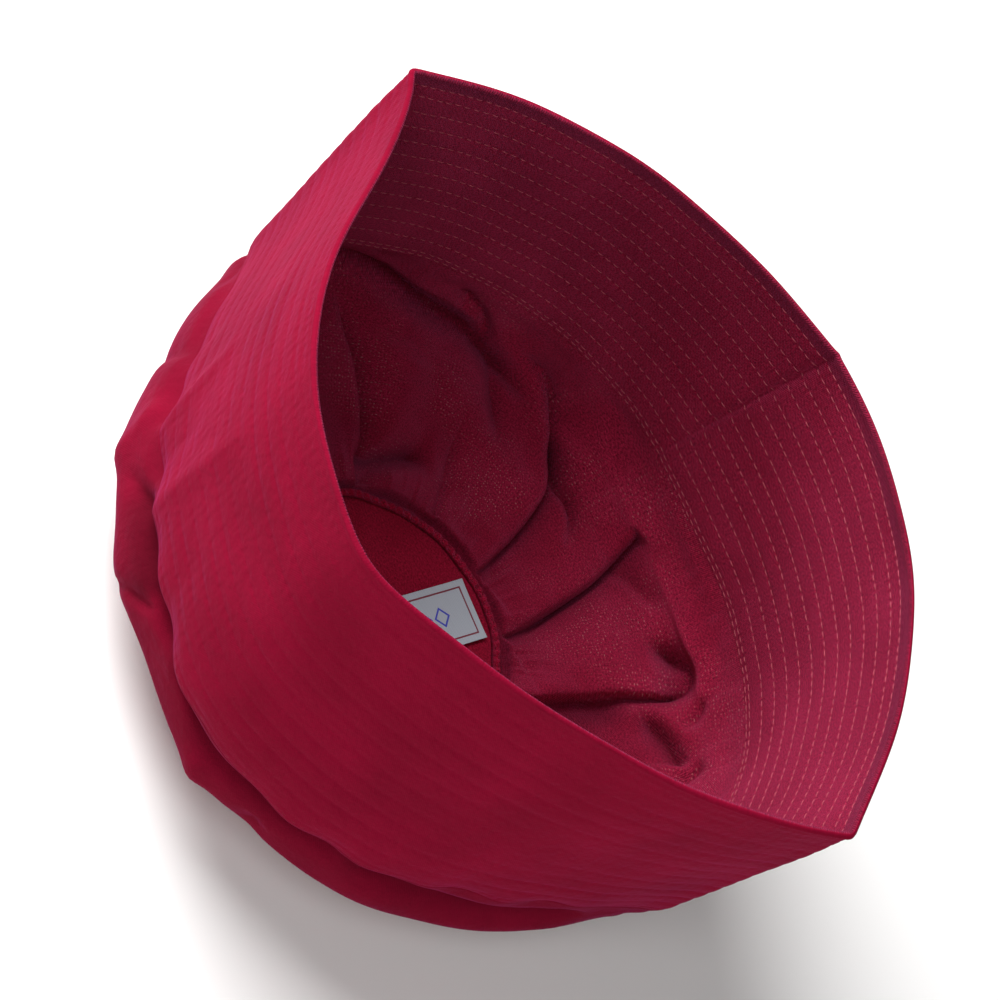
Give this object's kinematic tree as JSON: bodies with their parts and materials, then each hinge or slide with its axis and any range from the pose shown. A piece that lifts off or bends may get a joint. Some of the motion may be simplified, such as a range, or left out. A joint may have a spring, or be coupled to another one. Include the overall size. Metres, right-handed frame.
{
  "type": "soft brimless cap",
  "caption": "Soft brimless cap with a stiff quilted band, a crown gathered in pleats to a flat round top, and a woven label inside; open head hollow upwards.",
  "frame": {"origin": "middle of the round top's outer face, which is the face that the cap rests on", "axes": "+Z from the round top to the open rim, +X from the sharp front fold to the sharp back fold, +Y across the cap"},
  "size_m": [0.2164, 0.1872, 0.1218],
  "materials": {
    "band_cotton": "matt dyed cotton, quilted in close rows",
    "crown_cotton": "matt dyed cotton, pleated",
    "top_cotton": "matt dyed cotton",
    "seam_cotton": "matt dyed cotton, turned and stitched",
    "label_satin": "woven satin"
  },
  "bodies": {
    "root": {"band": "band_cotton", "crown_side": "crown_cotton", "crown_top": "top_cotton", "top_seam": "seam_cotton", "label": "label_satin"}
  },
  "joints": []
}
